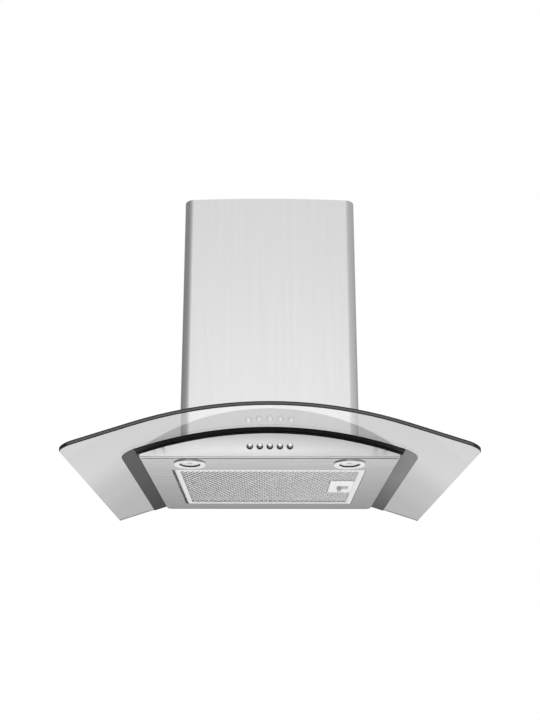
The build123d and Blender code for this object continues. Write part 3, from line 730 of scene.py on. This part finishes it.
# painted shade on the pan: darker towards the wall, and a dark band along its rolled rear edge
STEEL_PAN = BrushedStainless(
    "stainless_pan", "#CCCCCC", 0.2,
    painted_shades=(Fade("Y", -390.0, 0.0, "#DCDCDC"), Fade("Y", -9.0, -5.0, "#A0A0A0")),
)
STEEL_UPRIGHT = BrushedStainless(
    "stainless_brushed_upright", "#DEDEDE", 0.22, grain=Grain.UPRIGHT, shade="#DBDBDB", scratch_depth_mm=0.002
)
STEEL_BRIGHT = BrushedStainless("stainless_turned", "#CFCFCF", 0.22, grain=Grain.DEEP)
PLATE_COAT = CoatedSteel("dark_enamelled_steel", "#3A3B3C", 0.14)
ZINC = Galvanised("galvanised_sheet", "#A7ADAF", 0.42)
ALUMINIUM = SatinAluminium("satin_aluminium", "#F4F4F4", 0.4)
MESH_METAL = SatinAluminium(
    "expanded_aluminium", "#FFFFFF", 0.35, shade="#B2B3B3", metal=0.12, lines_mm=(4.4, 8.0, 4.4)
)
LAMP_METAL = TurnedTrim("satin_lamp_trim", "#F6F6F5", 0.3, metal=0.35)
PLATE_METAL = SatinAluminium("satin_latch_plate", "#FAFAFA", 0.4, shade="#F1F1F1", metal=0.1)
# the foil's dark grey is painted shade behind the expanded sheet; bare foil is brighter
FOIL = CrinkledFoil("crinkled_foil", "#7A7B7B", 0.3)
CHROME = ChromePlate("bright_chrome", "#E6E7E8", 0.05)
BLACK_PLASTIC = MouldedPlastic("black_moulded_plastic", "#262627", 0.48)
GREY_PLASTIC = MouldedPlastic("grey_moulded_plastic", "#B2B3B4", 0.4, shade="#A3A4A5")
WHITE_PLASTIC = MouldedPlastic("white_moulded_plastic", "#E4E3DE", 0.45, shade="#D3D2CC")
RUBBER = ExtrudedRubber("black_extruded_rubber", "#020202", 0.42)
GLASS = ToughenedGlass("toughened_glass", "#FFFFFF", 0.0)
LAMP_GLASS = FrostedGlass("frosted_lamp_glass", "#FBFBFA", 0.35)


# ---------------------------------------------------------------- pieces
def join_loops(
    mesh: bmesh.types.BMesh, near: list[bmesh.types.BMVert], far: list[bmesh.types.BMVert]
) -> None:
    """Spans faces between two closed loops.

    Args:
        mesh: where the faces go
        near, far: the loops, with equally many corners
    """
    for i in range(len(near)):
        j = (i + 1) % len(near)
        mesh.faces.new((near[i], near[j], far[j], far[i]))


def as_object(mesh: bmesh.types.BMesh, name: str, finish: Finish, body: str) -> bpy.types.Object:
    """Turns mesh data into a piece of the hood.

    Args:
        mesh: the piece's faces, in the CAD frame; it is freed
        name: the piece's name
        finish: what it is made of
        body: CAD body that it rides on
    Returns:
        the new object
    """
    data = bpy.data.meshes.new(name)
    bmesh.ops.recalc_face_normals(mesh, faces=mesh.faces)
    mesh.to_mesh(data)
    mesh.free()
    data.materials.append(finish.material())
    piece = bpy.data.objects.new(name, data)
    bpy.context.scene.collection.objects.link(piece)
    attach(piece, body)
    LOG.info("%s built in %s", name, finish.name)
    return piece


def dress_node(name: str, finish: Finish) -> bpy.types.Object:
    """Gives a CAD node its finish.

    Args:
        name: the node's name
        finish: what it is made of
    Returns:
        the node's object
    """
    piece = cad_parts[name]
    piece.data.materials.clear()
    piece.data.materials.append(finish.material())
    LOG.info("%s dressed in %s", name, finish.name)
    return piece


def dress_all(finish: Finish, *names: str) -> None:
    """Gives several CAD nodes the same finish."""
    for name in names:
        dress_node(name, finish)


@dataclass
class Canopy:
    """Pan, front panel, seal, support plate and the glass sheet."""

    def build(self) -> None:
        """Dresses the canopy's sheets; the seal and the support plate stay out of the reflections."""
        dress_node("canopy_pan", STEEL_PAN)
        dress_node("front_panel", STEEL_PANEL)
        dress_node("front_seal", RUBBER).visible_glossy = False
        dress_node("glass_support_plate", PLATE_COAT).visible_glossy = False
        dress_node("glass_canopy", GLASS).visible_shadow = False
        dress_node("glass_grommets", RUBBER)
        dress_node("glass_bolts", STEEL_BRIGHT)


@dataclass
class Controls:
    """Push buttons in their switch block.

    Args:
        count: number of buttons
    """

    count: int = 5

    def build(self) -> None:
        """Dresses the buttons and the block behind them."""
        dress_node("switch_block", BLACK_PLASTIC)
        dress_all(CHROME, *(f"button_{number}" for number in range(1, self.count + 1)))


@dataclass
class Lamps:
    """Two recessed halogen lamps, with a black rubber gasket inside each ring as painted shade in the gap
    round the lens.

    Args:
        sides: the lamps' names and the way each stands from the middle
        shadow_gasket_radius, shadow_gasket_width: a gasket's outer radius and how thick its wall is
        shadow_gasket_low, shadow_gasket_high: heights of its lower and upper end
        shadow_gasket_steps: number of straight pieces in its circle
    """

    sides: tuple[tuple[str, int], ...] = (("left", -1), ("right", 1))
    shadow_gasket_radius: float = 16.2 * MM
    shadow_gasket_width: float = 0.8 * MM
    shadow_gasket_low: float = -1.3 * MM
    shadow_gasket_high: float = 0.2 * MM
    shadow_gasket_steps: int = 64

    def build(self) -> None:
        """Dresses each lamp's ring, lens, housing and capsule, and lays the black gasket round the lens as
        painted shade.
        """
        for side, direction in self.sides:
            self.lay_shadow_gasket(f"lamp_shadow_gasket_{side}", direction * LAMP_X_MM * MM)
            dress_node(f"lamp_trim_{side}", LAMP_METAL)
            dress_node(f"lamp_lens_{side}", LAMP_GLASS)
            dress_node(f"lamp_housing_{side}", ALUMINIUM)
            dress_node(f"lamp_capsule_{side}", LAMP_GLASS)

    def lay_shadow_gasket(self, name: str, x: float) -> None:
        """Lays a black rubber ring inside a lamp ring's bore, as painted shade in the gap round the lens.

        Args:
            name: the piece's name
            x: the lamp's place along X
        """
        mesh = bmesh.new()
        loops = []
        outer, inner = self.shadow_gasket_radius, self.shadow_gasket_radius - self.shadow_gasket_width
        low, high = self.shadow_gasket_low, self.shadow_gasket_high
        for radius, height in ((outer, low), (outer, high), (inner, high), (inner, low)):
            loop = []
            for step in range(self.shadow_gasket_steps):
                turn = math.tau * step / self.shadow_gasket_steps
                along, out = radius * math.cos(turn), radius * math.sin(turn)
                loop.append(mesh.verts.new((x + along, -LAMP_Y_MM * MM + out, height)))
            loops.append(loop)
        for loop, following in zip(loops, loops[1:] + loops[:1]):
            join_loops(mesh, loop, following)
        # black rubber standing in for the shade in the gap between ring and lens
        as_object(mesh, name, RUBBER, "hood")


@dataclass
class GreaseFilter:
    """Hinged filter: frame, expanded mesh, foil core, latch plate and knob.

    Args:
        cell_x, cell_y: one diamond of the expanded sheet
        strand: width of a strand
        bow: how far a strand bends out of the straight line between its ends
        margin: how far the sheet stops short of its groove's end
        clearance: how far it stays below and above inside the groove
        slab: half the strand's thickness, as a share of half the sheet's thickness
        lean: rise of a strand's edge above its middle, as the same kind of share
        window_low, window_high: corners of the place that the latch plate covers, in plan
    """

    cell_x: float = 8.8 * MM
    cell_y: float = 13.0 * MM
    strand: float = 2.5 * MM
    bow: float = 0.9 * MM
    margin: float = 0.3 * MM
    clearance: float = 0.1 * MM
    slab: float = 0.2
    lean: float = 0.7
    window_low: tuple[float, float] = (0.1115, -0.2005)
    window_high: tuple[float, float] = (0.1515, -0.1635)

    def build(self) -> None:
        """Builds the expanded sheet and dresses the other pieces."""
        dress_node("filter_frame", ALUMINIUM)
        dress_node("filter_core", FOIL)
        dress_node("latch_plate", PLATE_METAL)
        dress_node("latch_slider", GREY_PLASTIC)
        dress_node("filter_keeper", ZINC)
        dress_node("filter_hinge_pins", STEEL_BRIGHT)
        self.expanded_sheet()

    def expanded_sheet(self) -> None:
        """Builds the face of slit and stretched sheet: tilted strands that meet in flat knuckles."""
        low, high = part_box("filter_mesh")
        mesh = bmesh.new()
        columns = int((high.x - low.x - 2 * self.margin) / self.cell_x * 2)
        rows = int((high.y - low.y - 2 * self.margin) / self.cell_y * 2)
        start = Vector(((low.x + high.x - columns * self.cell_x / 2) / 2, low.y + self.margin))
        middle, thick = (low.z + high.z) / 2, (high.z - low.z) / 2 - self.clearance
        for column in range(columns):
            for row in range(rows):
                rise = 1 if (column + row) % 2 == 0 else -1
                first = start + Vector((column * self.cell_x / 2, (row + (rise < 0)) * self.cell_y / 2))
                last = first + Vector((self.cell_x / 2, rise * self.cell_y / 2))
                if not self.covered(first) and not self.covered(last):
                    self.strand_between(mesh, first, last, middle, thick, rise)
        sheet = as_object(mesh, "filter_expanded_sheet", MESH_METAL, "filter")
        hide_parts("filter_mesh")
        LOG.info("%s has %d by %d half cells", sheet.name, columns, rows)

    def covered(self, point: Vector) -> bool:
        """Returns whether the latch plate covers a place."""
        return all(low < at < high for low, at, high in zip(self.window_low, point, self.window_high))

    def strand_between(
        self, mesh: bmesh.types.BMesh, first: Vector, last: Vector, middle: float, thick: float, rise: int
    ) -> None:
        """Adds one strand.

        Args:
            mesh: where it goes
            first, last: its ends in plan
            middle: height of the sheet's middle
            thick: half the sheet's overall thickness
            rise: +1 or -1, the way the strand leans
        """
        along = (last - first).normalized()
        across = Vector((-along.y, along.x)) * self.strand / 2
        crown = (first + last) / 2 + Vector((0, self.bow))
        loops = []
        for end in (first, crown, last):
            loop = []
            for side, face in ((-1, -1), (1, -1), (1, 1), (-1, 1)):
                plan = end + across * side
                level = face * self.slab + side * rise * self.lean
                loop.append(mesh.verts.new((plan.x, plan.y, middle + thick * level)))
            loops.append(loop)
        for loop, following in zip(loops, loops[1:]):
            join_loops(mesh, loop, following)
        mesh.faces.new(loops[0][::-1])
        mesh.faces.new(loops[-1])


@dataclass
class Chimney:
    """Two telescoping covers with their stays, screws and ceiling bracket."""

    def build(self) -> None:
        """Dresses the chimney's sheets and fixings."""
        dress_all(STEEL_UPRIGHT, "chimney_lower", "chimney_upper")
        dress_all(ZINC, "chimney_stays", "chimney_bracket")
        dress_node("chimney_screws", STEEL_BRIGHT)


@dataclass
class Blower:
    """Air box, fan, its drive and the outlet with two flaps."""

    def build(self) -> None:
        """Dresses the air path and the drive."""
        dress_all(ZINC, "air_box", "hanging_plate", "motor_bracket", "motor")
        dress_all(ZINC, "impeller_disc", "impeller_rings", "impeller_blades")
        dress_all(BLACK_PLASTIC, "outlet_flange", "outlet_collar", "outlet_adapter")
        dress_all(BLACK_PLASTIC, "flap_front", "flap_rear", "volute_left", "volute_right")
        dress_all(STEEL_BRIGHT, "flap_pins", "motor_shaft")
        dress_node("capacitor", WHITE_PLASTIC)


@dataclass
class Electrics:
    """Control box with its cover, cable gland, transformer and terminal block."""

    def build(self) -> None:
        """Dresses the electrical pieces."""
        dress_all(ZINC, "control_box", "control_box_cover")
        dress_node("cable_gland", BLACK_PLASTIC)
        dress_all(WHITE_PLASTIC, "lamp_transformer", "terminal_block")


# ---------------------------------------------------------------- studio
@dataclass(frozen=True)
class SoftLamp:
    """A square soft lamp that faces the hood, unseen in metal and through glass.

    Args:
        name: the lamp's name
        place: where it hangs
        size: length of its side
        power: its power in watts
    """

    name: str
    place: tuple[float, float, float]
    size: float
    power: float

    def hang(self) -> None:
        """Adds the lamp to the scene."""
        lamp = bpy.data.lights.new(self.name, "AREA")
        lamp.size, lamp.energy = self.size, self.power
        holder = bpy.data.objects.new(self.name, lamp)
        holder.location = self.place
        aim = (CAD_LOW + CAD_HIGH) / 2 - Vector(self.place)
        holder.rotation_euler = aim.to_track_quat("-Z", "Y").to_euler()
        holder.visible_glossy = holder.visible_transmission = False
        bpy.context.scene.collection.objects.link(holder)


@dataclass
class Studio:
    """Floor, light and camera.

    Args:
        floor_height: height of the floor under the hood
        floor_size: length of the floor's side
        floor_colour, floor_roughness: the floor as every ray but the camera's meets it
        lamps: the soft lamps
        eye: the camera's place
        pitch, yaw: how far it looks up and to the right, in radians
        focal_px: focal length in pixels of the 540 x 720 image
        drop_px: how far the image's principal point lies below its middle
        front, rear: brightness that metal sees in front of the hood and behind it, as (height, level) stops,
            with heights from -1, straight down, to 1, straight up
        left, right: how much of it is left towards each side, as (sideways, level) stops
        rearward: how much the rear counts, as (depth, share) stops
        ambient: brightness that matt surfaces see all round
        behind_glass: brightness of the backdrop seen through glass
        room_gain: how much brighter the room in front is where it shines through the glass onto the panel
        image_px: the image's long side
        sensor_mm: the sensor's long side
    """

    floor_height: float = -1.65
    floor_size: float = 8.0
    floor_colour: str = "#F1F1F0"
    floor_roughness: float = 0.8
    lamps: tuple[SoftLamp, ...] = (
        SoftLamp("key", (-1.5, -2.6, 1.7), 2.4, 30.0),
        SoftLamp("fill", (2.3, -2.0, 0.4), 2.4, 16.0),
        SoftLamp("low", (0.2, -2.2, -1.3), 1.8, 26.0),
    )
    eye: tuple[float, float, float] = (-6.2 * MM, -1648.9 * MM, -346.6 * MM)
    pitch: float = 0.2302
    yaw: float = 0.0051
    focal_px: float = 837.4
    drop_px: float = 129.6
    front: Stops = (
        (-1.0, 0.35), (-0.75, 0.3), (-0.5, 0.4), (-0.3, 0.85), (-0.15, 0.12), (-0.05, 0.03), (0.02, 0.8),
        (0.2, 1.2), (0.3, 1.17), (0.55, 0.93), (1.0, 0.87),
    )
    rear: Stops = (
        (-1.0, 1.2), (-0.32, 1.45), (-0.285, 0.78), (-0.265, 0.55), (-0.21, 0.32), (-0.12, 0.2),
        (0.05, 0.75), (1.0, 0.85),
    )
    left: Stops = ((-1.0, 0.28), (-0.8, 0.32), (-0.45, 0.55), (-0.28, 1.0))
    right: Stops = ((0.28, 1.0), (0.42, 0.68), (0.8, 0.58), (1.0, 0.5))
    rearward: Stops = ((0.0, 0.0), (0.5, 1.0))
    ambient: float = 0.7
    behind_glass: float = 0.47
    room_gain: float = 1.78
    image_px: float = 720.0
    sensor_mm: float = 36.0

    def build(self) -> None:
        """Sets up what surrounds the hood."""
        self.lay_floor()
        self.light_world()
        for lamp in self.lamps:
            lamp.hang()
        self.place_camera()
        bpy.context.scene.view_settings.view_transform = "Standard"

    def lay_floor(self) -> None:
        """Lays a plain pale floor far below the hood; the camera sees it as white as the backdrop."""
        half = self.floor_size / 2
        corners = ((-half, -half), (half, -half), (half, half), (-half, half))
        mesh = bmesh.new()
        mesh.faces.new([mesh.verts.new((x, y, self.floor_height)) for x, y in corners])
        data = bpy.data.meshes.new("floor")
        mesh.to_mesh(data)
        mesh.free()
        data.materials.append(self.floor_material())
        floor = bpy.data.objects.new("floor", data)
        floor.visible_glossy = False
        bpy.context.scene.collection.objects.link(floor)

    def floor_material(self) -> bpy.types.Material:
        """Makes the floor's material.

        Returns:
            a matt material that the camera sees as plain white
        """
        material = bpy.data.materials.new("pale_floor")
        material.use_nodes = True
        tree = material.node_tree
        surface = Surface(tree, tree.nodes["Principled BSDF"])
        surface.feed("Base Color", linear(self.floor_colour))
        surface.feed("Roughness", self.floor_roughness)
        ray = add_node(tree, "ShaderNodeLightPath")
        white = add_node(tree, "ShaderNodeEmission", {"Color": (1.0, 1.0, 1.0, 1.0), "Strength": 1.0})
        inputs = {0: ray.outputs["Is Camera Ray"], 1: surface.shader.outputs[0], 2: white.outputs[0]}
        seen = add_node(tree, "ShaderNodeMixShader", inputs)
        connect(tree, tree.nodes["Material Output"].inputs["Surface"], seen.outputs[0])
        return material

    def light_world(self) -> None:
        """Makes a white surround that the metal sees darker at its sides and below."""
        world = bpy.data.worlds.new("studio")
        bpy.context.scene.world = world
        world.use_nodes = True
        tree = world.node_tree
        board = Board(tree)
        way = board.parts(add_node(tree, "ShaderNodeTexCoord").outputs["Generated"])
        left, right = (self.levels(board, way["X"], stops) for stops in (self.left, self.right))
        sides = board.work_out("MULTIPLY", left, right)
        rearward = self.levels(board, way["Y"], self.rearward)
        front, rear = (self.levels(board, way["Z"], stops) for stops in (self.front, self.rear))
        in_metal = board.work_out("MULTIPLY", sides, board.mix(rearward, front, rear))
        room = board.work_out("MULTIPLY", board.work_out("MULTIPLY", front, sides), self.room_gain)
        through_glass = board.mix(rearward, room, self.behind_glass)
        ray = add_node(tree, "ShaderNodeLightPath")
        level: Any = self.ambient
        for kind, seen in (
            ("Is Glossy Ray", in_metal), ("Is Transmission Ray", through_glass), ("Is Camera Ray", 1.0)
        ):
            level = board.mix(ray.outputs[kind], level, seen)
        glow = tree.nodes["Background"]
        glow.inputs["Color"].default_value = (1, 1, 1, 1)
        connect(tree, glow.inputs["Strength"], level)

    def levels(self, board: Board, value: bpy.types.NodeSocket, stops: Stops) -> bpy.types.NodeSocket:
        """Eases a level from stop to stop.

        Args:
            board: the world's nodes
            value: what the level depends on, from -1 to 1
            stops: pairs of a value and the level there
        Returns:
            the level
        """
        ramp = add_node(board.tree, "ShaderNodeValToRGB", {0: board.ramp(value, -1.0, 1.0)})
        ramp.color_ramp.interpolation = "EASE"
        elements = ramp.color_ramp.elements
        elements.remove(elements[1])
        for number, (at, level) in enumerate(stops):
            position = (at + 1) / 2
            element = elements[0] if number == 0 else elements.new(position)
            element.position = position
            element.color = (level, level, level, 1.0)
        return ramp.outputs["Color"]

    def place_camera(self) -> None:
        """Places the camera at the photograph's viewpoint."""
        lens = bpy.data.cameras.new("camera")
        lens.sensor_width = self.sensor_mm
        lens.lens = self.focal_px / self.image_px * self.sensor_mm
        lens.shift_y = self.drop_px / self.image_px
        camera = bpy.data.objects.new("camera", lens)
        camera.location = self.eye
        camera.rotation_euler = (math.pi / 2 + self.pitch, 0.0, -self.yaw)
        bpy.context.scene.collection.objects.link(camera)
        bpy.context.scene.camera = camera


def main() -> None:
    """Dresses the hood and sets it in its studio."""
    logging.basicConfig(level=logging.INFO, format="%(name)s: %(message)s")
    hood = (Canopy(), Controls(), Lamps(), GreaseFilter(), Chimney(), Blower(), Electrics())
    for assembly in (*hood, Studio()):
        assembly.build()
        LOG.info("%s ready", type(assembly).__name__)


if __name__ == "__main__":
    main()
